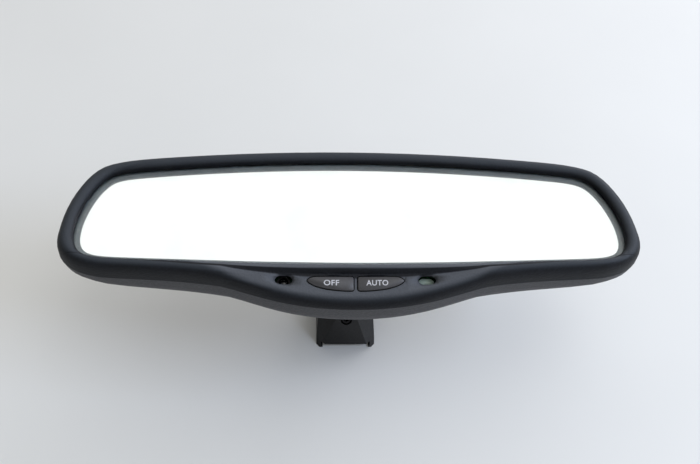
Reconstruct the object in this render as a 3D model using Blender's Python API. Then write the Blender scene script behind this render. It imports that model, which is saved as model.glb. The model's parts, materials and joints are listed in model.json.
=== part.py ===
"""Interior rearview mirror with an automatically dimming glass, metres, Z up.

The mirror stands on its windscreen mount with the glass facing up.
X runs across the mirror, Y is the mirror's own up, Z runs from the
windscreen plane (z = 0) to the face of the glass.
"""
import math

import bmesh
import bpy
from mathutils import Matrix, Vector

MM = 0.001

# ---- driving dimensions, millimetres ---------------------------------------
GLASS_Z = 82.0          # front face of the glass above the windscreen plane
PART_Z = 76.0           # parting line between bezel and rear case
CHIN_DROP = 4.2         # how much lower the parting line is under the console
CHIN_HALF = 57.0        # half length of the console
WALL = 2.2              # wall of the rear case
DEPTH_MID = 23.0        # parting line to the back of the case, in the middle
DEPTH_END = 11.5        # the same at the two ends
LIP = 1.2               # how far the bezel covers the glass
LIP_GAP = 0.35
SEAL_WIDTH = 2.2        # border of the dimming cell seen inside the opening
GAP = 0.1               # between parts that touch

# the opening of the bezel and its outer edge, right half, top to bottom
OUTLINE = [
    ((0, 31.7), (0, 38.7)), ((25, 31.3), (25.5, 38.3)),
    ((50, 30.1), (51, 37.1)), ((75, 28.2), (76.5, 35.1)),
    ((92, 26.4), (94.5, 33.2)), ((100.4, 25.2), (104.3, 31.2)),
    ((106.2, 23.3), (111.6, 28.4)), ((110.4, 19.7), (116.7, 23.5)),
    ((114.0, 14.2), (120.6, 17.0)), ((117.0, 7.1), (123.8, 9.4)),
    ((119.0, -0.2), (125.9, 1.1)), ((119.7, -6.4), (126.8, -6.0)),
    ((119.5, -10.8), (127.0, -11.0)), ((118.4, -14.5), (125.6, -15.9)),
    ((116.2, -17.5), (122.3, -20.0)), ((112.3, -19.55), (117.0, -23.3)),
    ((106, -20.6), (108.5, -25.7)), ((95, -21.15), (95.5, -26.6)),
    ((82, -21.6), (82, -27.4)), ((70, -22.0), (70, -28.5)),
    ((57, -22.4), (57, -30.3)), ((46, -22.75), (46, -33.0)),
    ((34, -23.0), (34, -36.0)), ((22, -23.15), (22, -38.0)),
    ((11, -23.3), (11, -39.0)), ((0, -23.35), (0, -39.3)),
]
STEPS = 2               # mesh steps between two stations of the outline

# bezel section: share of the width and height above the glass, plain bead
BEAD = [(0.0, 0.35), (0.015, 1.0), (0.06, 1.8), (0.13, 2.4), (0.22, 2.9),
        (0.31, 3.18), (0.40, 3.32), (0.49, 3.32), (0.58, 3.15), (0.67, 2.8),
        (0.75, 2.3), (0.825, 1.65), (0.89, 0.85), (0.945, -0.2),
        (0.985, -1.6), (1.0, -3.4), (1.0, -6.0)]
# the same at the middle of the console: first the ridge and the step below it as
# distances and heights, then places along the sunk face, then the roll below it
# as distances from the outer edge and shares of the way down to the parting line
RIDGE = [(0.0, 0.35), (0.12, 1.05), (0.5, 1.55), (1.2, 1.85), (2.0, 1.75),
         (2.6, 1.35), (2.95, -1.6)]
FACE_PLACES = (0.0, 0.3, 0.63, 0.9)
ROLL = [(3.3, 0.02), (2.05, 0.18), (1.0, 0.43), (0.35, 0.66), (0.001, 0.85),
        (0.001, 1.0)]

# console plane: buttons, sensor and lamp stand square to it
FACE_TILT = 17.5        # degrees, leaning to the mirror's lower edge
FACE_Y, FACE_Z = -29.6, 79.05
BUTTON_SPLIT = 0.95     # half of the web between the two buttons
BUTTON_END = 20.55      # outer end of a button
BUTTON_TOP = 1.9        # local height of the top edge
BUTTON_BOTTOM = -4.1
BUTTON_GAP = 0.45
BUTTON_RISE = 0.03       # slope of a button's top towards its outer end
SWITCH_V = -0.9          # local height of the switches
BUTTON_TRAVEL = 0.8
HOLE_X, HOLE_V = 30.6, 0.45
HOLE_N, HOLE_RISE = 1.44, 0.09  # the console's surface at the holes
PCB_N = -10.0           # front face of the circuit board below the console
PLUG = (-32.0, 2.6)       # middle of the wiring socket, x and local height
PCB_HALF, PCB_LOW, PCB_HIGH, PCB_T = 48.0, -5.4, 7.2, 1.6

# arm, balls and mount
BALL_LOW_Z, BALL_HIGH_Z, BALL_R = 29.0, 56.0, 7.5
NECK_R = 3.5
CUP_LOW = (7.8, 8.8)    # inner and outer radius of the lower cup
TUBE_LOW_R = 9.1
CUP_IN = (7.8, 8.6)
CUP_OUT = (8.9, 9.7)
TUBE_HIGH_R = 10.0
TUBE_WALL = 1.8
PLATE_Z = 67.4          # underside of the ball plate
PLATE_R, PLATE_T = 22.0, 2.2
SCREW_RING = 18.6
CASE_HOLE_R = 15.6
MOUNT_HALF, MOUNT_FRONT, MOUNT_BACK = 14.4, -18.5, 13.5
MOUNT_TOP, TOP_HALF, TOP_FRONT, TOP_BACK = 18.0, 13.0, -9.8, 9.6
SLOT_HALF, SLOT_DEPTH, SLOT_END = 11.35, 2.7, 10.3
SET_SCREW_R, SET_SCREW_ANGLE = 2.6, 50.0


# ---- helpers ------------------------------------------------------------------
def new_object(name, verts, faces, smooth=35):
    """A closed body from vertices in millimetres and faces."""
    mesh = bpy.data.meshes.new(name)
    mesh.from_pydata([Vector(v) * MM for v in verts], [], faces)
    bm = bmesh.new()
    bm.from_mesh(mesh)
    bmesh.ops.remove_doubles(bm, verts=bm.verts, dist=1e-7)
    bmesh.ops.recalc_face_normals(bm, faces=bm.faces)
    if bm.calc_volume(signed=True) < 0:
        bmesh.ops.reverse_faces(bm, faces=bm.faces)
    bm.to_mesh(mesh)
    bm.free()
    obj = bpy.data.objects.new(name, mesh)
    bpy.context.scene.collection.objects.link(obj)
    for poly in mesh.polygons:
        poly.use_smooth = True
    mesh.set_sharp_from_angle(angle=math.radians(smooth))
    return obj


def rings_to_faces(count, size, closed):
    """Quads between neighbouring rings, with end caps unless closed."""
    faces = []
    last = count if closed else count - 1
    for i in range(last):
        j = (i + 1) % count
        for k in range(size):
            n = (k + 1) % size
            faces.append((i * size + k, i * size + n, j * size + n, j * size + k))
    if not closed:
        faces.append(tuple(range(size)))
        faces.append(tuple((count - 1) * size + k for k in reversed(range(size))))
    return faces


def loft(name, rings, closed=False, smooth=35):
    verts = [p for ring in rings for p in ring]
    return new_object(name, verts,
                      rings_to_faces(len(rings), len(rings[0]), closed), smooth)


def lathe(name, profile, steps=40, centre=(0, 0, 0), smooth=35):
    """Turn a closed (radius, height) outline round the Z axis."""
    cx, cy, cz = centre
    verts, rows = [], []
    for r, z in profile:
        if r == 0:
            rows.append([len(verts)] * steps)
            verts.append((cx, cy, cz + z))
            continue
        rows.append(list(range(len(verts), len(verts) + steps)))
        verts += [(cx + r * math.cos(2 * math.pi * s / steps),
                   cy + r * math.sin(2 * math.pi * s / steps), cz + z)
                  for s in range(steps)]
    faces = []
    for i, row in enumerate(rows):
        above = rows[(i + 1) % len(rows)]
        if row[0] == row[1] and above[0] == above[1]:
            continue
        for s in range(steps):
            n = (s + 1) % steps
            face = [row[s], row[n], above[n], above[s]]
            faces.append(tuple(dict.fromkeys(face)))
    return new_object(name, verts, faces, smooth)


def prism(name, outline, z0, z1, smooth=35):
    """A flat outline between two heights."""
    return loft(name, [[(x, y, z0) for x, y in outline],
                       [(x, y, z1) for x, y in outline]], smooth=smooth)


def box(name, x, y, z, chamfer=0.0):
    """A block from three ranges, its upright edges chamfered."""
    (x0, x1), (y0, y1), (z0, z1) = x, y, z
    c = chamfer
    if c:
        outline = [(x0 + c, y0), (x1 - c, y0), (x1, y0 + c), (x1, y1 - c),
                   (x1 - c, y1), (x0 + c, y1), (x0, y1 - c), (x0, y0 + c)]
    else:
        outline = [(x0, y0), (x1, y0), (x1, y1), (x0, y1)]
    return prism(name, outline, z0, z1)


def drum(name, r, z0, z1, centre=(0, 0), chamfer=0.0, steps=32):
    """A round disc or pin."""
    c = chamfer
    rings = []
    for radius, z in ((r - c, z0), (r, z0 + c), (r, z1 - c), (r - c, z1)):
        rings.append([(centre[0] + radius * math.cos(2 * math.pi * k / steps),
                       centre[1] + radius * math.sin(2 * math.pi * k / steps), z)
                      for k in range(steps)])
    return loft(name, rings if c else [rings[1], rings[2]])


def tube_along(name, points, radius, sides=8):
    """A round wire through a row of points."""
    pts = [Vector(p) for p in points]
    rings = []
    side = None
    for i, p in enumerate(pts):
        ahead = (pts[min(i + 1, len(pts) - 1)] - pts[max(i - 1, 0)]).normalized()
        if side is None:
            side = ahead.orthogonal().normalized()
        side = (side - ahead * side.dot(ahead)).normalized()
        other = ahead.cross(side)
        rings.append([tuple(p + radius * (math.cos(a) * side + math.sin(a) * other))
                      for a in (2 * math.pi * k / sides for k in range(sides))])
    return loft(name, rings, smooth=60)


def boolean(target, tool, operation="DIFFERENCE"):
    """Apply an exact boolean and drop the tool."""
    bpy.context.view_layer.update()
    mod = target.modifiers.new("cut", "BOOLEAN")
    mod.solver = "EXACT"
    mod.operation = operation
    mod.object = tool
    bpy.context.view_layer.objects.active = target
    bpy.ops.object.modifier_apply(modifier=mod.name)
    bpy.data.objects.remove(tool, do_unlink=True)
    mesh = target.data
    for poly in mesh.polygons:
        poly.use_smooth = True
    mesh.set_sharp_from_angle(angle=math.radians(35))
    return target


def to_console(obj):
    """Set a body drawn square to the console into its tilted place."""
    obj.data.transform(
        Matrix.Translation(Vector((0, FACE_Y, FACE_Z)) * MM)
        @ Matrix.Rotation(math.radians(FACE_TILT), 4, "X"))
    return obj


def console_point(x, v, n):
    a = math.radians(FACE_TILT)
    return (x, FACE_Y + v * math.cos(a) - n * math.sin(a),
            FACE_Z + v * math.sin(a) + n * math.cos(a))


def arc(radius, a0, a1, count):
    """(radius, height) points of a sphere, angles measured from +Z down."""
    return [(radius * math.sin(math.radians(a0 + (a1 - a0) * i / count)),
             radius * math.cos(math.radians(a0 + (a1 - a0) * i / count)))
            for i in range(count + 1)]


# ---- outline of the head ---------------------------------------------------------
def smooth_point(points, i, t):
    """Catmull-Rom point of a closed row."""
    n = len(points)
    p0, p1, p2, p3 = (Vector(points[(i + k) % n]) for k in (-1, 0, 1, 2))
    return 0.5 * ((2 * p1) + (p2 - p0) * t + (2 * p0 - 5 * p1 + 4 * p2 - p3) * t * t
                  + (3 * p1 - p0 - 3 * p2 + p3) * t * t * t)


def head_stations():
    """Pairs of opening point and outer point all round the head."""
    right = [(Vector(a), Vector(b)) for a, b in OUTLINE]
    left = [(Vector((-a.x, a.y)), Vector((-b.x, b.y))) for a, b in right[-2:0:-1]]
    inner = [a for a, b in right + left]
    outer = [b for a, b in right + left]
    pairs = []
    for i in range(len(inner)):
        for s in range(STEPS):
            pairs.append((smooth_point(inner, i, s / STEPS),
                          smooth_point(outer, i, s / STEPS)))
    return pairs


STATIONS = head_stations()


def console_share(point):
    """1 at the middle of the console, 0 from its tips on."""
    if point.y > 0 or abs(point.x) >= CHIN_HALF:
        return 0.0
    return 1 - (point.x / CHIN_HALF) ** 2


def parting_z(point):
    return PART_Z - CHIN_DROP * console_share(point)


def opening_offset(distance):
    """The bezel opening grown by a distance."""
    n = len(STATIONS)
    ring = []
    for i in range(n):
        a, b = STATIONS[i - 1][0], STATIONS[(i + 1) % n][0]
        along = (b - a).normalized()
        ring.append((STATIONS[i][0].x - along.y * distance,
                     STATIONS[i][0].y + along.x * distance))
    return ring


# ---- head: casing -------------------------------------------------------------------
def face_height(s):
    """Height of the console's face at a distance from the opening."""
    return -1.97 - 0.315 * (s - 3.3)


def bezel_section(inner, outer):
    """The bezel's section from the opening over the bead and back inside."""
    width = (outer - inner).length
    share = console_share(inner)
    plain = [(f * width, h) for f, h in BEAD]
    end, bottom = width - ROLL[0][0], -6.0 - CHIN_DROP
    face = [3.3 + f * (end - 3.3) for f in FACE_PLACES]
    console = RIDGE + [(s, face_height(s)) for s in face]
    console += [(width - s, face_height(end) + (bottom - face_height(end)) * f)
                for s, f in ROLL]
    sunk = len(RIDGE) + len(FACE_PLACES) + 1
    back = 3.9 + 0.53 * (end - 3.9)
    plain += [(width - 1.9, -6.0), (width - 2.1, -1.8), (width - 2.7, -1.0),
              (2.6, -0.9), (1.5, -0.9), (1.5, 0.35)]
    console += [(width - 1.9, bottom), (width - 2.8, -8.2),
                (back, face_height(back) - 2.1), (3.9, -3.9), (1.5, -3.5),
                (1.5, 0.35)]
    section = []
    for i, (p, c) in enumerate(zip(plain, console)):
        t = share ** 0.8 if i < sunk else share
        section.append(((1 - t) * p[0] + t * c[0], (1 - t) * p[1] + t * c[1]))
    return section


def grown(points, distance):
    """A counterclockwise outline moved outwards along its corner normals."""
    ring = []
    for i, (x, y) in enumerate(points):
        a, b = Vector(points[i - 1]), Vector(points[(i + 1) % len(points)])
        along = (b - a).normalized()
        ring.append((x + along.y * distance, y - along.x * distance))
    return ring


def button_outline(side, grow=0.0):
    """One button, flat inner edge at the web, pointed outer end."""
    inner, length, low = BUTTON_SPLIT, BUTTON_END - BUTTON_SPLIT, BUTTON_BOTTOM
    top = BUTTON_TOP
    pts = [(inner, low + 0.7), (inner + 0.25, low + 0.2), (inner + 0.8, low)]
    pts += [(inner + t * length, low + h) for t, h in (
        (0.18, 0.04), (0.32, 0.2), (0.45, 0.45), (0.58, 0.8), (0.7, 1.27),
        (0.81, 1.9), (0.9, 2.65), (0.965, 3.4), (1.0, 4.1))]
    pts += [(inner + t * length, top - h) for t, h in (
        (0.985, 1.25), (0.945, 0.65), (0.885, 0.25), (0.8, 0.08), (0.6, 0.0),
        (0.4, 0.0), (0.2, 0.0))]
    pts += [(inner + 0.8, top), (inner + 0.25, top - 0.2), (inner, top - 0.7)]
    return [(side * x, y) for x, y in grown(pts, grow)]


def aperture(x, grow=0.0):
    """Stretched hexagon with softened corners."""
    a, b = 3.8 + grow, 1.85 + grow
    c, d = 1.35 + 0.3 * grow, 0.6 + 0.4 * grow
    pts = [Vector(p) for p in ((-a, -d), (-a + c, -b), (a - c, -b), (a, -d),
                               (a, d), (a - c, b), (-a + c, b), (-a, d))]
    soft = []
    for p, q in zip(pts, pts[1:] + pts[:1]):
        t = min(0.3, 0.6 / (q - p).length)
        soft += [p.lerp(q, t), q.lerp(p, t)]
    return [(x + p.x, HOLE_V + p.y) for p in soft]


def front_bezel():
    """Ring with a rounded bead, widened to a sunk console at the bottom."""
    rings = []
    for inner, outer in STATIONS:
        away = (outer - inner).normalized()
        rings.append([(inner.x + away.x * s, inner.y + away.y * s, GLASS_Z + h)
                      for s, h in bezel_section(inner, outer)])
    body = loft("front_bezel", rings, closed=True, smooth=40)
    for side in (-1, 1):
        boolean(body, to_console(prism("tool", button_outline(side, BUTTON_GAP),
                                       -5.0, 3.0)))
    for x in (-HOLE_X, HOLE_X):
        boolean(body, to_console(loft("tool", [
            [(px, py, HOLE_N + depth + HOLE_RISE * (abs(px) - HOLE_X))
             for px, py in aperture(x, grow)]
            for depth, grow in ((-6.0, 0.0), (-0.9, 0.0), (0.0, 0.75),
                                (1.0, 0.9))])))
    return body


def case_point(outer, q, inset):
    """A point of the domed rear case, q = 1 at the rim and 0 in the middle."""
    sx, sy = (127.0 - inset) / 127.0, (39.0 - inset) / 39.0
    x, y = outer.x * sx * q, outer.y * sy * q
    depth = DEPTH_END + (DEPTH_MID - DEPTH_END) * (1 - (x / 127.0) ** 2) - inset
    rise = (1 - q ** 3.0) ** (1 / 3.0)
    rim = parting_z(Vector((outer.x * sx, outer.y)))
    return (x, y, rim * q ** 2 + PART_Z * (1 - q ** 2) - GAP - depth * rise)


def rear_case():
    """Domed shell with the arm opening, sensor port and connector port."""
    q_rows = (1.0, 0.993, 0.975, 0.945, 0.90, 0.83, 0.73, 0.58, 0.4, 0.2, 0.0)
    rings = [[case_point(o, q, 0.0) for i, o in STATIONS] for q in q_rows]
    inside = [[case_point(o, q, WALL) for i, o in STATIONS]
              for q in (1.0, 0.985, 0.94, 0.86, 0.72, 0.5, 0.25, 0.0)]
    size = len(STATIONS)
    rings = list(reversed(rings)) + inside
    verts = [p for ring in rings for p in ring]
    faces = rings_to_faces(len(rings), size, False)[:-2]
    body = new_object("rear_case", verts, faces, 40)
    boolean(body, drum("tool", CASE_HOLE_R + 2.0, 53.9, 58.6, steps=48), "UNION")
    for x, y in screw_places():
        boolean(body, drum("tool", 3.1, 54.2, PLATE_Z - GAP, (x, y), steps=20),
                "UNION")
        boolean(body, drum("tool", 1.45, 58.0, PLATE_Z + 4, (x, y), steps=20))
    boolean(body, drum("tool", CASE_HOLE_R, 40, 62, steps=56))
    boolean(body, drum("tool", 3.3, 40, 70, SENSOR_BACK, steps=28))
    cx, cv = PLUG
    port = to_console(box("tool", (cx - 8.2, cx + 8.2), (cv - 4.6, cv + 4.6),
                          (-36.0, -17.0)))
    boolean(body, port)
    return body


def screw_places():
    return [(SCREW_RING * math.cos(math.radians(a)),
             SCREW_RING * math.sin(math.radians(a))) for a in (90, 210, 330)]


SENSOR_BACK = (34.0, 6.0)


# ---- head: glass ------------------------------------------------------------------------
def glass_stack():
    """Two panes with the dimming layer sealed between them, and their backing."""
    z = GLASS_Z
    prism("front_glass", opening_offset(LIP), z - 2.1, z)
    ring_out, ring_in = opening_offset(LIP - 0.4), opening_offset(-SEAL_WIDTH)
    seal = loft("cell_seal", [[(a[0], a[1], z - 2.45), (a[0], a[1], z - 2.15),
                               (b[0], b[1], z - 2.15), (b[0], b[1], z - 2.45)]
                              for a, b in zip(ring_out, ring_in)], closed=True)
    seal.data.update()
    prism("rear_glass", opening_offset(LIP - 0.3), z - 4.6, z - 2.5)
    box("bus_strip_top", (-78, 78), (23.4, 26.4), (z - 5.15, z - 4.7))
    box("bus_strip_bottom", (-78, 78), (-20.0, -17.0), (z - 5.15, z - 4.7))
    pad = box("foam_pad", (-84, 84), (-16.4, 22.8), (z - 5.3, z - 4.7), 6.0)
    pad.data.update()
    carrier = prism("glass_carrier", opening_offset(0.6), z - 7.0, z - 5.4)
    for x0, x1 in ((-100, -62), (-52, -14), (14, 52), (62, 100)):
        boolean(carrier, box("tool", (x0, x1), (-8, 14), (z - 9, z - 4), 4.0))
    boolean(carrier, box("tool", (-13, 13), (-14, 14), (z - 9, z - 4), 6.0))
    boolean(carrier, box("tool", (-60, -50), (-26, -16.6), (z - 9, z - 4)))
    boolean(carrier, box("tool", (50, 60), (-26, -16.6), (z - 9, z - 4)))


# ---- head: electronics -------------------------------------------------------------------
def circuit_board():
    half, low, high = PCB_HALF, PCB_LOW, PCB_HIGH
    edge = [(-30, low), (30, low), (half - 2, 0.6), (half, 2.4), (half, high - 1),
            (half - 1, high), (1 - half, high), (-half, high - 1), (-half, 2.4),
            (2 - half, 0.6)]
    return to_console(prism("circuit_board", edge, PCB_N - PCB_T, PCB_N))


def board_parts():
    """Components standing on the two faces of the circuit board."""
    front, back = PCB_N + GAP, PCB_N - PCB_T - GAP
    for name, x in (("switch_off", -9.5), ("switch_auto", 9.5)):
        body = box(name, (x - 3.0, x + 3.0), (SWITCH_V - 3.0, SWITCH_V + 3.0),
                   (front, front + 2.6), 0.5)
        boolean(body, drum("tool", 1.75, front + 1.0, front + 4, (x, SWITCH_V),
                           steps=20))
        to_console(body)
        to_console(drum("plunger_" + name[7:], 1.5, front + 1.95,
                        -2.5 - GAP, (x, SWITCH_V), 0.2, 20))
    to_console(box("lamp_led", (HOLE_X - 1.5, HOLE_X + 1.5),
                   (HOLE_V - 1.2, HOLE_V + 1.2), (front, front + 1.4), 0.3))
    to_console(loft("lamp_lens", [
        [(HOLE_X + (x - HOLE_X) * s, HOLE_V + (y - HOLE_V) * s, n)
         for x, y in aperture(HOLE_X)]
        for s, n in ((0.7, front + 1.7), (0.7, -5.8), (0.88, -5.0),
                     (0.88, -3.2), (0.78, -2.8))]))
    to_console(drum("glare_sensor", 2.0, front, front + 5.4,
                    (-HOLE_X, HOLE_V), 0.4, 24))
    tube = lathe("sensor_hood", [(2.3, front + 0.4), (2.9, front + 0.4),
                                 (2.9, -4.9), (2.3, -4.9)], 28,
                 (-HOLE_X, HOLE_V, 0))
    to_console(tube)
    to_console(box("microcontroller", (4.0, 14.0), (-3.5, 3.5),
                   (back - 1.6, back), 0.6))
    to_console(drum("capacitor_1", 3.1, back - 7.0, back, (24.0, -0.4), 0.4, 24))
    to_console(drum("capacitor_2", 2.5, back - 5.5, back, (31.5, 1.0), 0.4, 24))
    to_console(box("power_transistor", (-14.0, -7.5), (-3.2, 3.2),
                   (back - 2.3, back), 0.5))
    cx, cv = PLUG
    shroud = box("connector_shroud", (cx - 7.0, cx + 7.0), (cv - 3.6, cv + 3.6),
                 (back - 11.5, back), 0.6)
    boolean(shroud, box("tool", (cx - 5.8, cx + 5.8), (cv - 2.4, cv + 2.4),
                        (back - 14.0, back - 2.0)))
    for k in range(4):
        boolean(shroud, drum("tool", 0.62, back - 4, back + 2,
                             (cx - 4.0 + k * 2.67, cv), steps=12))
    to_console(shroud)
    for k in range(4):
        to_console(drum("connector_pin_%d" % (k + 1), 0.45, back - 9.5,
                        back - 0.2, (cx - 4.0 + k * 2.67, cv), 0.1, 12))
    sensor_x, sensor_y = SENSOR_BACK
    drum("rear_sensor", 2.4, 60.2, 65.6, SENSOR_BACK, 0.3, 24)
    window = lathe("rear_window", [(0, 55.6), (2.9, 55.6), (2.9, 58.6),
                                   (4.4, 58.6), (4.4, 59.6), (0, 59.6)],
                   28, (sensor_x, sensor_y, 0))
    window.data.update()


def lead_wires():
    """Two leads from the bus strips to the circuit board."""
    for name, side in (("lead_top", -1), ("lead_bottom", 1)):
        x = 55.0 * side
        end = console_point(side * 45.5, 4.2, PCB_N + 0.9)
        tube_along(name, [(x, -18.5, GLASS_Z - 5.8), (x, -18.7, GLASS_Z - 6.6),
                          (x, -19.2, GLASS_Z - 7.6),
                          (x - side * 2.5, -20.0, GLASS_Z - 8.3),
                          (x - side * 5.5, -20.9, GLASS_Z - 8.5),
                          (end[0] + side * 1.5, end[1] + 0.6, end[2] + 1.4), end],
                   0.6)


def buttons():
    """Two rocker-shaped push buttons with a skirt behind the bezel."""
    for side, name in ((-1, "button_off"), (1, "button_auto")):
        rings = [[(x, y, -2.5) for x, y in button_outline(side, 0.05)]]
        for grow, n in ((0.05, 0.0), (0.0, 0.4), (-0.25, 0.62)):
            rings.append([(x, y, n + BUTTON_RISE * abs(x))
                          for x, y in button_outline(side, grow)])
        to_console(loft(name, rings, smooth=30))


# ---- arm and balls -------------------------------------------------------------------------
def ball_plate():
    """Round plate with the head's ball on a neck, held by three screws."""
    z = PLATE_Z
    profile = [(0, z + PLATE_T), (PLATE_R, z + PLATE_T), (PLATE_R, z),
               (5.4, z), (4.3, z - 0.4), (NECK_R, z - 1.8)]
    start = math.degrees(math.asin(NECK_R / BALL_R))
    ball = [(r, BALL_HIGH_Z + h) for r, h in arc(BALL_R, start, 180, 9)]
    ball[-1] = (0, ball[-1][1])
    body = lathe("ball_plate", profile + ball, 32)
    for x, y in screw_places():
        boolean(body, drum("tool", 1.75, z - 2, z + PLATE_T + 2, (x, y), steps=20))
    boolean(body, box("tool", (-30, 30), (-30, -15.6), (z - 3, z + 5)))
    return body


def plate_screws():
    top = PLATE_Z + PLATE_T + GAP
    for i, (x, y) in enumerate(screw_places()):
        body = lathe("plate_screw_%d" % (i + 1), [
            (0, 59.6), (0.9, 59.6), (1.35, 60.4), (1.35, top), (2.9, top),
            (2.9, top + 1.0), (2.2, top + 1.8), (0, top + 2.0)], 20, (x, y, 0))
        boolean(body, box("tool", (x - 0.4, x + 0.4), (y - 1.7, y + 1.7),
                          (top + 0.9, top + 4)))


def shell_band(name, radii, a0, a1, z, steps=28, count=6):
    """A spherical shell between two angles from +Z."""
    inner, outer = radii
    profile = [(r, h) for r, h in
               arc(outer, a0, a1, count) + list(reversed(arc(inner, a0, a1, count)))]
    return lathe(name, profile, steps, (0, 0, z))


def arm():
    """Swaged tube with a ball seat at each end, spring inside."""
    lo, hi = BALL_LOW_Z, BALL_HIGH_Z
    rl, rh, w = TUBE_LOW_R, TUBE_HIGH_R, TUBE_WALL
    outside = [(r, lo - h) for r, h in arc(rl + w, 49, 84, 5)]
    outside += [(10.4, lo + 4.0), (10.0, lo + 8.0), (10.0, hi - 9.0),
                (10.6, hi - 5.5)]
    outside += [(r, hi + h) for r, h in reversed(arc(rh + w, 51, 97, 6))]
    inside = [(r, hi + h) for r, h in arc(rh, 51, 128, 6)]
    inside += [(7.6, hi - 7.6), (7.6, lo + 6.4)]
    inside += [(r, lo - h) for r, h in reversed(arc(rl, 49, 132, 6))]
    lathe("arm_tube", outside + inside, 32)
    shell_band("lower_cup", CUP_LOW, 46, 131, lo)
    shell_band("upper_cup", CUP_OUT, 50, 130, hi)
    shell_band("ball_seat", CUP_IN, 31, 150, hi)
    turns, z0, z1 = 3.5, lo + 9.7, hi - 10.0
    count = 44
    tube_along("arm_spring", [
        (5.6 * math.cos(2 * math.pi * turns * k / count),
         5.6 * math.sin(2 * math.pi * turns * k / count),
         z0 + 0.7 + (z1 - z0 - 1.4) * k / count) for k in range(count + 1)], 0.7, 6)
    lathe("spring_seat", [(0, z0 - 2.0), (6.9, z0 - 0.9), (6.9, z0 - 0.1),
                          (0, z0 - 0.1)], 32)


# ---- windscreen mount ------------------------------------------------------------------------
def block_ring(half, front, back, cut_front, cut_back, z):
    """Rectangle with chamfered corners, two points on each chamfer."""
    return [(-half + cut_front, front, z), (half - cut_front, front, z),
            (half, front + cut_front * 1.1, z), (half, back - cut_back, z),
            (half - cut_back, back, z), (-half + cut_back, back, z),
            (-half, back - cut_back, z), (-half, front + cut_front * 1.1, z)]


def facet_point(z):
    """Front face of the mount at a height."""
    return MOUNT_FRONT + (TOP_FRONT - MOUNT_FRONT) * (z - 2.5) / (MOUNT_TOP - 2.5)


def windscreen_mount():
    """Die-cast channel mount with sloping faces, ball on a short neck."""
    body = loft("windscreen_mount", [
        block_ring(MOUNT_HALF, MOUNT_FRONT, MOUNT_BACK, 1.6, 1.6, 0.0),
        block_ring(MOUNT_HALF, MOUNT_FRONT, MOUNT_BACK, 4.0, 3.0, 2.5),
        block_ring(TOP_HALF + 0.25, facet_point(15.0), TOP_BACK + 0.8, 7.9, 6.0, 15.0),
        block_ring(TOP_HALF, TOP_FRONT, TOP_BACK, 8.6, 6.6, MOUNT_TOP - 0.6),
        block_ring(TOP_HALF - 0.6, TOP_FRONT + 0.6, TOP_BACK - 0.6, 8.6, 6.6,
                   MOUNT_TOP)], smooth=25)
    start = math.degrees(math.asin(NECK_R / BALL_R))
    ball = [(r, BALL_LOW_Z - h) for r, h in arc(BALL_R, start, 180, 9)]
    ball[-1] = (0, ball[-1][1])
    stud = lathe("tool", ball[::-1] + [(NECK_R, MOUNT_TOP + 2.2),
                                       (4.2, MOUNT_TOP + 0.9), (5.6, MOUNT_TOP),
                                       (5.6, MOUNT_TOP - 3), (0, MOUNT_TOP - 3)],
                 32)
    boolean(body, stud, "UNION")
    s = SLOT_HALF
    slot = [(-s, -0.5), (s, -0.5), (s, 0.6), (s + 0.75, 1.2), (s + 0.75, SLOT_DEPTH - 0.4),
            (s + 0.35, SLOT_DEPTH), (-s - 0.35, SLOT_DEPTH),
            (-s - 0.75, SLOT_DEPTH - 0.4), (-s - 0.75, 1.2), (-s, 0.6)]
    boolean(body, loft("tool", [[(x, y, z) for x, z in slot]
                                for y in (MOUNT_FRONT - 2, SLOT_END)]))
    boolean(body, set_screw_tool(2.85, -2.0, 22.0))
    return body


def set_screw_frame():
    """Start of the set screw's bore on the front face, and its turn."""
    z = 15.0
    place = Vector((0, facet_point(z), z)) * MM
    turn = Matrix.Rotation(math.radians(-90 - SET_SCREW_ANGLE), 4, "X")
    return Matrix.Translation(place) @ turn


def set_screw_tool(radius, start, end):
    """A round bar along the bore of the set screw."""
    body = drum("tool", radius, start, end, steps=24)
    body.data.transform(set_screw_frame())
    return body


def set_screw():
    """Socket set screw that clamps the mount on its button."""
    body = lathe("set_screw", [(0, 1.6), (2.2, 1.6), (2.6, 2.0), (2.6, 12.4),
                               (1.9, 13.1), (0, 13.1)], 24)
    socket = [(1.45 * math.cos(math.radians(30 + 60 * k)),
               1.45 * math.sin(math.radians(30 + 60 * k))) for k in range(6)]
    boolean(body, prism("tool", socket, 0.0, 4.6))
    body.data.transform(set_screw_frame())
    return body


def build():
    front_bezel()
    rear_case()
    glass_stack()
    circuit_board()
    board_parts()
    lead_wires()
    buttons()
    ball_plate()
    plate_screws()
    arm()
    windscreen_mount()
    set_screw()


for old in list(bpy.data.objects):
    bpy.data.objects.remove(old, do_unlink=True)
build()
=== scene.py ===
import json
import math

import bpy
from mathutils import Matrix, Vector


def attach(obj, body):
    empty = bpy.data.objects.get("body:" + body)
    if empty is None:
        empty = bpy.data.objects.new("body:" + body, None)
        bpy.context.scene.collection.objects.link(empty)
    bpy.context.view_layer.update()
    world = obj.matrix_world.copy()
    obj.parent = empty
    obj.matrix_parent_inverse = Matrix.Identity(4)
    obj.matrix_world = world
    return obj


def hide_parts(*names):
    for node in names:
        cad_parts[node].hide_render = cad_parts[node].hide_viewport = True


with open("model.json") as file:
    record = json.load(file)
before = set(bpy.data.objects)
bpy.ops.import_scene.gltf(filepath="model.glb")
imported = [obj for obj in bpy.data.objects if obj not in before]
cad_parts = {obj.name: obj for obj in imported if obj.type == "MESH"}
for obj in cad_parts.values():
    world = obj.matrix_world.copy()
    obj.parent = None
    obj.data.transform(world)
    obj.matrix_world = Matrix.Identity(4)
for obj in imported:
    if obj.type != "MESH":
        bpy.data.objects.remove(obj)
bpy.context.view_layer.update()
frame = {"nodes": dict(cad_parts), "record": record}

NODES = frame["nodes"]
BODY_OF = {node: body
           for body, members in frame["record"]["behaviour"]["bodies"].items()
           for node in members}
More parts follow.
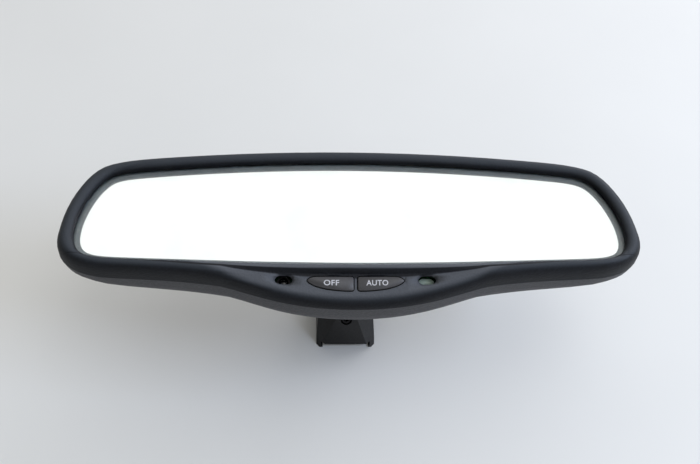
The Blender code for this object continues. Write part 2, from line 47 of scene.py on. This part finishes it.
SLOT_OF = {row["node"]: row["material_slot"] for row in frame["record"]["subparts"]}

MM = 0.001

# the console: its plane leans down to the lower edge of the head
FACE_TILT = math.radians(17.5)
FACE_FOOT = Vector((0, -29.6, 79.05)) * MM
CONSOLE_TIP = 57.0                              # half its width, mm
CONSOLE_LOW = 39.3 * MM                         # its lower edge below the centre
CONSOLE_BOW = 9.0 / CONSOLE_TIP ** 2 / MM       # how that edge rises to the tips
FIELD_EDGE = (1.6 * MM, 4.2 * MM)               # above the edge, where the field sets in
FIELD_TOP = (-19.5 * MM, -21.5 * MM)            # Y below which the field may show
STEP_SHADE_LOW = 27.1 * MM                            # the painted shade along the step, below the centre
STEP_SHADE_BOW = 1.8 / CONSOLE_TIP ** 2 / MM          # how it rises to the tips
STEP_SHADE_TAPER = 1.6 / CONSOLE_TIP ** 2 / MM ** 2   # how it narrows to the tips
STEP_SHADE_HALF = (0.9 * MM, 2.0 * MM)                # off its middle, where it fades out

# the button tops and the words on them, in mm
CAP_TOP = 0.62                                  # a top off the console's plane at x = 0
CAP_RISE = 0.03                                 # slope of a top, rising outwards
INK_MIDDLE = 0.012                              # middle of the ink off the top
INK_THICK = 0.02
LEGEND_LINE = -0.75                             # along the console from FACE_FOOT
LEGEND_HEIGHT = 2.4

# sockets of a Mix node set to colours, and settings used again and again
SHARE, COLOUR_A, COLOUR_B, MIXED = 0, 6, 7, 2
COLOURS = {"data_type": "RGBA"}
SMOOTHSTEP = {"interpolation_type": "SMOOTHSTEP"}


# ---- colour and node helpers ----------------------------------------------------
def linear(hex_colour):
    """An sRGB hex value as linear red, green, blue and alpha."""
    out = []
    for i in (1, 3, 5):
        c = int(hex_colour[i:i + 2], 16) / 255
        out.append(c / 12.92 if c <= 0.04045 else ((c + 0.055) / 1.055) ** 2.4)
    return (*out, 1.0)


def add_node(tree, kind, settings=None, inputs=None, links=None, out=0):
    """Add one node, set its settings and sockets, link it, give an output."""
    node = tree.nodes.new("ShaderNode" + kind)
    for key, value in (settings or {}).items():
        setattr(node, key, value)
    for key, value in (inputs or {}).items():
        node.inputs[key].default_value = value
    for key, source in (links or {}).items():
        tree.links.new(source, node.inputs[key])
    return node.outputs[out]


def new_material(name, **constants):
    """A named material: its shader with constants set, and Object coordinates."""
    mat = bpy.data.materials.new(name)
    mat.use_nodes = True
    tree = mat.node_tree
    tree.nodes.clear()
    surface = add_node(tree, "BsdfPrincipled")
    end = tree.nodes.new("ShaderNodeOutputMaterial")
    tree.links.new(surface, end.inputs["Surface"])
    shader = surface.node
    for key, value in constants.items():
        shader.inputs[key.replace("_", " ")].default_value = value
    return mat, tree, shader, add_node(tree, "TexCoord", out="Object")


# ---- materials ------------------------------------------------------------------
def moulded(name, dark, light, rough, grain_mm, depth_mm, pit_tone, **constants):
    """Moulded plastic: eroded grain from the tool whose pits keep pit_tone of the
    colour, a faint drift from dark to light, and patches that are a little glossier."""
    mat, tree, shader, place = new_material(name, IOR=1.5, **constants)
    drift = add_node(tree, "TexNoise", inputs={"Scale": 1 / (26 * MM), "Detail": 4.0},
                     links={"Vector": place})
    cells = add_node(tree, "TexVoronoi", {"feature": "SMOOTH_F1"},
                     {"Scale": 1 / (grain_mm * MM), "Smoothness": 0.5},
                     {"Vector": place})
    fine = add_node(tree, "TexNoise", inputs={"Scale": 1.7 / (grain_mm * MM),
                                              "Detail": 3.0}, links={"Vector": place})
    tone = add_node(tree, "MapRange", inputs={"From Min": 0.3, "From Max": 0.7},
                    links={"Value": drift})
    base = add_node(tree, "Mix", COLOURS,
                    {COLOUR_A: linear(dark), COLOUR_B: linear(light)},
                    {SHARE: tone}, out=MIXED)
    speck = add_node(tree, "MapRange", inputs={"From Min": 0.0, "From Max": 0.9,
                                               "To Min": pit_tone, "To Max": 1.12},
                     links={"Value": cells})
    speckled = add_node(tree, "Mix", {**COLOURS, "blend_type": "MULTIPLY"}, {SHARE: 1.0},
                        {COLOUR_A: base, COLOUR_B: speck}, out=MIXED)
    tree.links.new(speckled, shader.inputs["Base Color"])
    height = add_node(tree, "Math", {"operation": "MULTIPLY_ADD"}, {1: 0.6},
                      {0: fine, 2: cells})
    bump = add_node(tree, "Bump", inputs={"Strength": 1.0, "Distance": depth_mm * MM},
                    links={"Height": height})
    tree.links.new(bump, shader.inputs["Normal"])
    gloss = add_node(tree, "MapRange", inputs={"From Min": 0.25, "From Max": 0.75,
                                               "To Min": rough - 0.07,
                                               "To Max": rough + 0.08},
                     links={"Value": drift})
    tree.links.new(gloss, shader.inputs["Roughness"])
    return mat


def bezel_plastic():
    """Soft-touch ABS: the grained bead is almost black with a slight blue cast. The
    ridge under the glass and the sunk console field take a lighter tone, partly satin
    from the tool and partly painted light; the step between them is kept dark as painted
    shade, and faces that look up are lightened as painted light from above."""
    mat = moulded("soft_touch_abs", "#0e1015", "#171a20", 0.56, 0.9, 0.09, 0.5,
                  Specular_IOR_Level=0.26)
    tree = mat.node_tree
    shader = next(n for n in tree.nodes if n.type == "BSDF_PRINCIPLED")
    grained = shader.inputs["Base Color"].links[0].from_socket
    place = add_node(tree, "TexCoord", out="Object")
    facing = add_node(tree, "SeparateXYZ",
                      links={"Vector": place.node.outputs["Normal"]}, out="Z")
    where = add_node(tree, "SeparateXYZ", links={"Vector": place}).node
    square = add_node(tree, "Math", {"operation": "POWER"}, {1: 2.0},
                      {0: where.outputs["X"]})
    # the field: above the console's bowed lower edge
    edge = add_node(tree, "Math", {"operation": "MULTIPLY_ADD"},
                    {1: -CONSOLE_BOW, 2: CONSOLE_LOW}, {0: square})
    inside = add_node(tree, "Math", {"operation": "ADD"},
                      links={0: where.outputs["Y"], 1: edge})
    low = add_node(tree, "MapRange", SMOOTHSTEP,
                   {"From Min": FIELD_EDGE[0], "From Max": FIELD_EDGE[1]},
                   {"Value": inside})
    # the step: a band of painted shade along a flatter bow, narrower towards the tips
    rise = add_node(tree, "Math", {"operation": "MULTIPLY_ADD"},
                    {1: -STEP_SHADE_BOW, 2: STEP_SHADE_LOW}, {0: square})
    above = add_node(tree, "Math", {"operation": "ADD"},
                     links={0: where.outputs["Y"], 1: rise})
    taper = add_node(tree, "Math", {"operation": "MULTIPLY_ADD"},
                     {1: STEP_SHADE_TAPER, 2: 1.0}, {0: square})
    away = add_node(tree, "Math", {"operation": "MULTIPLY"},
                    links={0: above, 1: taper})
    away = add_node(tree, "Math", {"operation": "ABSOLUTE"}, links={0: away})
    # clear is 0 on the step, so there the dark bead colour stays as painted shade
    clear = add_node(tree, "MapRange", SMOOTHSTEP,
                     {"From Min": STEP_SHADE_HALF[0], "From Max": STEP_SHADE_HALF[1]},
                     {"Value": away})
    # painted light: what faces up is lightened as if lit from above, away from the step
    up_facing_light = add_node(tree, "MapRange", SMOOTHSTEP,
                      {"From Min": 0.45, "From Max": 1.0, "To Max": 0.8},
                      {"Value": facing})
    painted_top_light = add_node(tree, "Math", {"operation": "MULTIPLY"},
                    links={0: up_facing_light, 1: clear})
    # the colour #353a40 is painted light on faces that look up
    bead = add_node(tree, "Mix", COLOURS, {COLOUR_B: linear("#353a40")},
                    {SHARE: painted_top_light, COLOUR_A: grained}, out=MIXED)
    # only the lower part of the bezel shows the field, and not on the step, where the
    # dark colour stays as painted shade
    below = add_node(tree, "MapRange",
                     inputs={"From Min": FIELD_TOP[0], "From Max": FIELD_TOP[1]},
                     links={"Value": where.outputs["Y"]})
    field = add_node(tree, "Math", {"operation": "MULTIPLY"}, links={0: low, 1: clear})
    field = add_node(tree, "Math", {"operation": "MULTIPLY"},
                     links={0: field, 1: below})
    speck = add_node(tree, "TexNoise", inputs={"Scale": 1 / (0.5 * MM), "Detail": 2.0},
                     links={"Vector": place})
    # the lighter tone of ridge and field: partly satin from the tool, partly painted
    # light
    grey = add_node(tree, "Mix", COLOURS,
                    {COLOUR_A: linear("#484b50"), COLOUR_B: linear("#5b5e63")},
                    {SHARE: speck}, out=MIXED)
    both = add_node(tree, "Mix", COLOURS, None,
                    {SHARE: field, COLOUR_A: bead, COLOUR_B: grey}, out=MIXED)
    tree.links.new(both, shader.inputs["Base Color"])
    return mat


def metal(name, colour, worn, rough, grain_mm, stretch=(1, 1, 1)):
    """Bare or plated metal: fine scratches, drawn out along the small part of
    stretch, and a cloudy tone."""
    mat, tree, shader, place = new_material(name, Metallic=1.0)
    run = add_node(tree, "Mapping", inputs={"Scale": stretch}, links={"Vector": place})
    lines = add_node(tree, "TexNoise", inputs={"Scale": 1 / (grain_mm * MM),
                                               "Detail": 5.0}, links={"Vector": run})
    cloud = add_node(tree, "TexNoise", inputs={"Scale": 1 / (6 * MM), "Detail": 3.0},
                     links={"Vector": place})
    base = add_node(tree, "Mix", COLOURS,
                    {COLOUR_A: linear(colour), COLOUR_B: linear(worn)},
                    {SHARE: cloud}, out=MIXED)
    tree.links.new(base, shader.inputs["Base Color"])
    gloss = add_node(tree, "MapRange", inputs={"To Min": rough - 0.1,
                                               "To Max": rough + 0.15},
                     links={"Value": lines})
    tree.links.new(gloss, shader.inputs["Roughness"])
    bump = add_node(tree, "Bump", inputs={"Strength": 0.6, "Distance": 0.004 * MM},
                    links={"Height": lines})
    tree.links.new(bump, shader.inputs["Normal"])
    return mat


def coated(name, dark, light, rough, peel_mm, depth_mm):
    """Cathodic paint on metal: a thin even black film with soft orange peel
    over the coarser skin of the casting or tube."""
    mat, tree, shader, place = new_material(name, IOR=1.5, Coat_Weight=0.25,
                                            Coat_Roughness=0.25)
    peel = add_node(tree, "TexNoise", inputs={"Scale": 1 / (peel_mm * MM),
                                              "Detail": 2.5}, links={"Vector": place})
    skin = add_node(tree, "TexNoise", inputs={"Scale": 1 / (7 * MM), "Detail": 3.0},
                    links={"Vector": place})
    base = add_node(tree, "Mix", COLOURS,
                    {COLOUR_A: linear(dark), COLOUR_B: linear(light)},
                    {SHARE: skin}, out=MIXED)
    tree.links.new(base, shader.inputs["Base Color"])
    both = add_node(tree, "Math", {"operation": "MULTIPLY_ADD"}, {1: 1.6},
                    {0: skin, 2: peel})
    bump = add_node(tree, "Bump", inputs={"Strength": 0.8, "Distance": depth_mm * MM},
                    links={"Height": both})
    tree.links.new(bump, shader.inputs["Normal"])
    gloss = add_node(tree, "MapRange", inputs={"From Min": 0.3, "From Max": 0.7,
                                               "To Min": rough - 0.06,
                                               "To Max": rough + 0.1},
                     links={"Value": peel})
    tree.links.new(gloss, shader.inputs["Roughness"])
    return mat


def float_glass():
    """Polished float glass: the iron in it gives a faint green, wiping leaves
    hardly visible streaks in the gloss."""
    mat, tree, shader, place = new_material("float_glass", IOR=1.5,
                                            Transmission_Weight=1.0,
                                            Base_Color=linear("#fcfefd"))
    run = add_node(tree, "Mapping", inputs={"Scale": (0.25, 1.0, 1.0),
                                            "Rotation": (0, 0, 0.5)},
                   links={"Vector": place})
    streaks = add_node(tree, "TexNoise", inputs={"Scale": 1 / (9 * MM), "Detail": 6.0},
                       links={"Vector": run})
    gloss = add_node(tree, "MapRange", inputs={"From Min": 0.55, "From Max": 0.8,
                                               "To Min": 0.0, "To Max": 0.06},
                     links={"Value": streaks})
    tree.links.new(gloss, shader.inputs["Roughness"])
    return mat


def silvered_glass():
    """Mirror layer of the dimming cell: sputtered metal, very slightly uneven,
    a trace greener towards thick spots of the gel."""
    mat, tree, shader, place = new_material("silvered_glass", Metallic=1.0,
                                            Roughness=0.015)
    cloud = add_node(tree, "TexNoise", inputs={"Scale": 1 / (38 * MM), "Detail": 5.0,
                                               "Roughness": 0.6},
                     links={"Vector": place})
    haze = add_node(tree, "MapRange", inputs={"From Min": 0.5, "From Max": 0.75},
                    links={"Value": cloud})
    base = add_node(tree, "Mix", COLOURS,
                    {COLOUR_A: linear("#fbfcfc"), COLOUR_B: linear("#f2f6f5")},
                    {SHARE: haze}, out=MIXED)
    tree.links.new(base, shader.inputs["Base Color"])
    return mat


def solder_mask():
    """Glass-epoxy board under green mask: woven cloth shows through, and the
    copper tracks stand up as lighter lines."""
    mat, tree, shader, place = new_material("solder_mask", IOR=1.5, Roughness=0.28)
    tilt = add_node(tree, "Mapping", inputs={"Rotation": (-FACE_TILT, 0, 0)},
                    links={"Vector": place})
    weave = add_node(tree, "TexWave", inputs={"Scale": 1 / (6 * MM), "Distortion": 0.5},
                     links={"Vector": tilt})
    tracks = add_node(tree, "TexBrick", {"offset": 0.37, "squash": 0.7},
                      {"Scale": 1.0, "Brick Width": 5.5 * MM, "Row Height": 1.3 * MM,
                       "Mortar Size": 0.18 * MM, "Color1": linear("#0b4a2b"),
                       "Color2": linear("#0d5230"), "Mortar": linear("#2c7a4b")},
                      {"Vector": tilt})
    tree.links.new(tracks, shader.inputs["Base Color"])
    bump = add_node(tree, "Bump", inputs={"Strength": 0.4, "Distance": 0.02 * MM},
                    links={"Height": weave})
    tree.links.new(bump, shader.inputs["Normal"])
    return mat


def closed_cell_foam():
    """Foam tape: burst cells about 0.7 mm across give a soft pitted face."""
    mat, tree, shader, place = new_material("closed_cell_foam", IOR=1.45,
                                            Roughness=0.9)
    cells = add_node(tree, "TexVoronoi", inputs={"Scale": 1 / (0.7 * MM)},
                     links={"Vector": place})
    base = add_node(tree, "Mix", COLOURS,
                    {COLOUR_A: linear("#101011"), COLOUR_B: linear("#2c2c2e")},
                    {SHARE: cells}, out=MIXED)
    tree.links.new(base, shader.inputs["Base Color"])
    bump = add_node(tree, "Bump", inputs={"Strength": 1.0, "Distance": 0.2 * MM},
                    links={"Height": cells})
    tree.links.new(bump, shader.inputs["Normal"])
    return mat


MATERIALS = {
    # grain is 0.35 mm on the real part, drawn coarser so that it shows
    "bezel_plastic": bezel_plastic(),
    "case_plastic": moulded("textured_abs", "#3c3c3f", "#47474b", 0.58, 0.9, 0.09, 0.62),
    "button_plastic": moulded("satin_abs", "#434243", "#494849", 0.42, 0.45, 0.015,
                              0.85),
    "clear_glass": float_glass(),
    "mirror_glass": silvered_glass(),
    "seal_epoxy": moulded("cured_epoxy_seal", "#6c777b", "#768185", 0.4, 2.0, 0.01,
                          0.9),
    "foam": closed_cell_foam(),
    "carrier_plastic": moulded("black_pp", "#1b1b1c", "#232324", 0.45, 0.9, 0.02, 0.8),
    "tinned_strip": metal("tinned_bronze", "#c9c6ba", "#b0aca0", 0.3, 0.5,
                          (0.06, 1, 1)),
    "board": solder_mask(),
    "component_black": moulded("epoxy_package", "#161617", "#1f1f20", 0.5, 0.25, 0.02,
                               0.75),
    "can_aluminium": metal("drawn_aluminium", "#d2d4d6", "#bcbec0", 0.28, 0.4,
                           (1, 1, 0.08)),
    "connector_plastic": moulded("natural_pbt", "#cdc6b2", "#d8d2c0", 0.42, 1.2, 0.02,
                                 0.92),
    "contact_metal": metal("tinned_brass", "#c9a867", "#d9d2b4", 0.25, 0.4,
                           (1, 1, 0.1)),
    "lamp_plastic": moulded("frosted_polycarbonate", "#b9cfc2", "#c8dbcf", 0.35, 0.5,
                            0.02, 0.95, Transmission_Weight=0.35),
    "led_plastic": moulded("clear_epoxy", "#dfe6cf", "#e8eedb", 0.15, 0.8, 0.005,
                           0.97, Transmission_Weight=0.5),
    "sensor_window": moulded("smoked_polycarbonate", "#0d0d0f", "#141416", 0.12, 1.5,
                             0.003, 0.9),
    "plunger_plastic": moulded("natural_acetal", "#d8d4c8", "#e2ded3", 0.35, 0.9, 0.01,
                               0.95),
    "screw_steel": metal("zinc_plated_steel", "#b9bbb6", "#a3a292", 0.3, 0.6),
    "plate_steel": coated("coated_steel_plate", "#17171a", "#202024", 0.42, 0.9, 0.03),
    "cast_zinc": coated("coated_zinc_casting", "#08080b", "#101115", 0.5, 1.1, 0.07),
    "tube_steel": coated("coated_drawn_tube", "#16161a", "#1f2024", 0.38, 0.8, 0.03),
    "cup_nylon": moulded("natural_nylon", "#d2cbb6", "#dfd9c8", 0.4, 1.0, 0.02, 0.93),
    "spring_steel": metal("oiled_spring_wire", "#6a6a6c", "#4c4b49", 0.35, 0.4,
                          (1, 1, 0.3)),
    "wire_red": moulded("red_pvc", "#8a1712", "#9a1e18", 0.4, 0.8, 0.01, 0.93),
    "wire_black": moulded("black_pvc", "#151515", "#1d1d1d", 0.4, 0.8, 0.01, 0.9),
    "set_screw_steel": metal("black_oxide_steel", "#3a3a3d", "#29292b", 0.38, 0.5),
}


# ---- skins over the CAD solids --------------------------------------------------
def paint(piece, material):
    piece.data.materials.clear()
    piece.data.materials.append(material)


def only_select(piece):
    bpy.ops.object.select_all(action="DESELECT")
    bpy.context.view_layer.objects.active = piece
    piece.select_set(True)


def smooth_skin(node, angle):
    """A merged copy of a CAD solid that stands for it, shaded smooth across edges
    that turn less than angle."""
    piece = NODES[node].copy()
    piece.data = NODES[node].data.copy()
    piece.name = piece.data.name = node + "_skin"
    bpy.context.scene.collection.objects.link(piece)
    only_select(piece)
    bpy.ops.object.mode_set(mode="EDIT")
    bpy.ops.mesh.select_all(action="SELECT")
    bpy.ops.mesh.remove_doubles(threshold=1e-6)
    bpy.ops.mesh.tris_convert_to_quads(face_threshold=math.radians(25),
                                       shape_threshold=math.radians(60))
    bpy.ops.object.mode_set(mode="OBJECT")
    bpy.ops.object.shade_smooth_by_angle(angle=math.radians(angle))
    body, slot = BODY_OF[node], SLOT_OF[node]
    paint(piece, MATERIALS[slot])
    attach(piece, body)
    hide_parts(node)


for node, slot in SLOT_OF.items():
    paint(NODES[node], MATERIALS[slot])

# nodes with rounded surfaces, each with the least turn of a sharp edge, in degrees
ROUND_NODES = {
    "front_bezel": 38, "rear_case": 38, "button_off": 30, "button_auto": 30,
    "windscreen_mount": 22, "arm_tube": 35, "ball_plate": 30, "set_screw": 30,
    "lower_cup": 40, "upper_cup": 40, "ball_seat": 40, "arm_spring": 70,
    "spring_seat": 30, "sensor_hood": 30, "glare_sensor": 30, "rear_window": 30,
    "rear_sensor": 30, "lamp_lens": 30, "capacitor_1": 30, "capacitor_2": 30,
    "plunger_off": 30, "plunger_auto": 30, "lead_top": 60, "lead_bottom": 60,
    "plate_screw_1": 30, "plate_screw_2": 30, "plate_screw_3": 30,
    "connector_pin_1": 30, "connector_pin_2": 30, "connector_pin_3": 30,
    "connector_pin_4": 30, "connector_shroud": 25, "cell_seal": 30,
}
for node, angle in ROUND_NODES.items():
    smooth_skin(node, angle)


# ---- legends on the buttons -----------------------------------------------------
LEGEND_INK = moulded("pad_printed_ink", "#c4c4c8", "#d2d2d5", 0.55, 0.3, 0.005, 0.9)


def legend(name, word, x, width, button):
    """A pad-printed word, width mm long and x mm from the middle of the console:
    thin raised ink lying on a button's sloping top."""
    bpy.ops.object.select_all(action="DESELECT")
    bpy.ops.object.text_add(location=(0, 0, 0))
    piece = bpy.context.object
    piece.name = piece.data.name = name
    piece.data.body = word
    piece.data.align_x, piece.data.align_y = "CENTER", "CENTER"
    piece.data.space_character = 1.06
    piece.data.offset = 0.012
    piece.data.extrude = 0.012
    bpy.ops.object.convert(target="MESH")
    low = Vector(min(p.co[i] for p in piece.data.vertices) for i in range(3))
    high = Vector(max(p.co[i] for p in piece.data.vertices) for i in range(3))
    middle, size = (low + high) / 2, high - low
    lean = math.copysign(math.atan(CAP_RISE), -x)
    over = CAP_TOP + CAP_RISE * abs(x) + INK_MIDDLE
    place = (Matrix.Translation(FACE_FOOT) @ Matrix.Rotation(FACE_TILT, 4, "X")
             @ Matrix.Translation(Vector((x, LEGEND_LINE, over)) * MM)
             @ Matrix.Rotation(lean, 4, "Y")
             @ Matrix.Diagonal((width * MM / size.x, LEGEND_HEIGHT * MM / size.y,
                                INK_THICK * MM / size.z, 1))
             @ Matrix.Translation(-middle))
    piece.data.transform(place)
    only_select(piece)
    bpy.ops.object.mode_set(mode="EDIT")
    bpy.ops.mesh.select_all(action="SELECT")
    bpy.ops.mesh.remove_doubles(threshold=1e-7)
    bpy.ops.mesh.normals_make_consistent(inside=False)
    bpy.ops.object.mode_set(mode="OBJECT")
    paint(piece, LEGEND_INK)
    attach(piece, button + "_body")


legend("legend_off", "OFF", -10.35, 6.5, "button_off")
legend("legend_auto", "AUTO", 9.1, 9.3, "button_auto")


# ---- floor, light, camera -------------------------------------------------------
def floor():
    bpy.ops.mesh.primitive_plane_add(size=6.0, location=(0, 0, 0))
    table = bpy.context.object
    table.name = "floor"
    mat, tree, shader, place = new_material("matt_table_top", Roughness=0.75)
    blotch = add_node(tree, "TexNoise", inputs={"Scale": 1 / (90 * MM), "Detail": 3.0},
                      links={"Vector": place})
    base = add_node(tree, "Mix", COLOURS,
                    {COLOUR_A: linear("#dcdcd8"), COLOUR_B: linear("#e2e2de")},
                    {SHARE: blotch}, out=MIXED)
    tree.links.new(base, shader.inputs["Base Color"])
    table.data.materials.append(mat)


def panel_light(name, place, target, size, energy, colour):
    data = bpy.data.lights.new(name, "AREA")
    data.shape = "RECTANGLE"
    data.size, data.size_y = size
    data.energy = energy
    data.color = linear(colour)[:3]
    lamp = bpy.data.objects.new(name, data)
    bpy.context.scene.collection.objects.link(lamp)
    lamp.location = place
    aim = Vector(target) - Vector(place)
    lamp.rotation_euler = aim.to_track_quat("-Z", "Y").to_euler()
    lamp.visible_camera = False


# direction, cosines between which the glow rises, and its strength at both
GLOWS = (
    ((0.50, 0.50, 0.70), -0.8, 0.95, 0.04, 0.68),      # the tent as a whole
    ((0.16, 0.58, 0.80), 0.70, 0.91, 0.0, 0.50),       # its roof, seen in the glass
)


def lights():
    """A white tent, darker in front and on the left, with a soft panel overhead
    and two cool ones on the right: a low one behind the mirror, a bluer one beside."""
    world = bpy.data.worlds.new("studio")
    world.use_nodes = True
    tree = world.node_tree
    way = add_node(tree, "TexCoord", out="Generated")
    glow = None
    for heading, start, end, least, most in GLOWS:
        toward = add_node(tree, "VectorMath", {"operation": "DOT_PRODUCT"},
                          {1: Vector(heading).normalized()}, {0: way}, out="Value")
        part = add_node(tree, "MapRange", SMOOTHSTEP,
                        {"From Min": start, "From Max": end, "To Min": least,
                         "To Max": most}, {"Value": toward})
        glow = part if glow is None else add_node(tree, "Math", {"operation": "ADD"},
                                                  links={0: glow, 1: part})
    air = tree.nodes["Background"]
    air.inputs["Color"].default_value = linear("#fbfbfb")
    tree.links.new(glow, air.inputs["Strength"])
    bpy.context.scene.world = world
    panel_light("roof_panel", (0.3, -0.15, 1.4), (0, 0, 0.05), (0.9, 0.7), 2.0,
                "#ffffff")
    panel_light("back_panel", (0.68, 0.72, 0.38), (0, 0, 0.03), (0.9, 0.4), 4,
                "#f2f4ff")
    panel_light("side_panel", (0.85, -0.2, 0.75), (0, 0, 0.06), (0.5, 0.4), 6,
                "#d0e0ff")


EYE = Vector((-29.0, -248.5, 428.6)) * MM
LOOK_AT = Vector((0.0, -5.8, 82.0)) * MM
CAMERA_UP = Vector((0, 0.82, 0.57))
CAMERA_ROLL = math.radians(0.3)
LENS, SENSOR = 50.0, 36.0                     # mm
SHIFT = (-0.006, -0.00057)                    # shares of the picture's width


def camera():
    data = bpy.data.cameras.new("camera")
    data.lens, data.sensor_width = LENS, SENSOR
    data.shift_x, data.shift_y = SHIFT
    holder = bpy.data.objects.new("camera", data)
    bpy.context.scene.collection.objects.link(holder)
    ahead = (LOOK_AT - EYE).normalized()
    side = ahead.cross(CAMERA_UP).normalized()
    turn = Matrix((side, side.cross(ahead), -ahead)).transposed()
    roll = Matrix.Rotation(CAMERA_ROLL, 3, "Z")
    holder.matrix_world = Matrix.Translation(EYE) @ (turn @ roll).to_4x4()
    bpy.context.scene.camera = holder
    bpy.context.scene.view_settings.view_transform = "Standard"


floor()
lights()
camera()
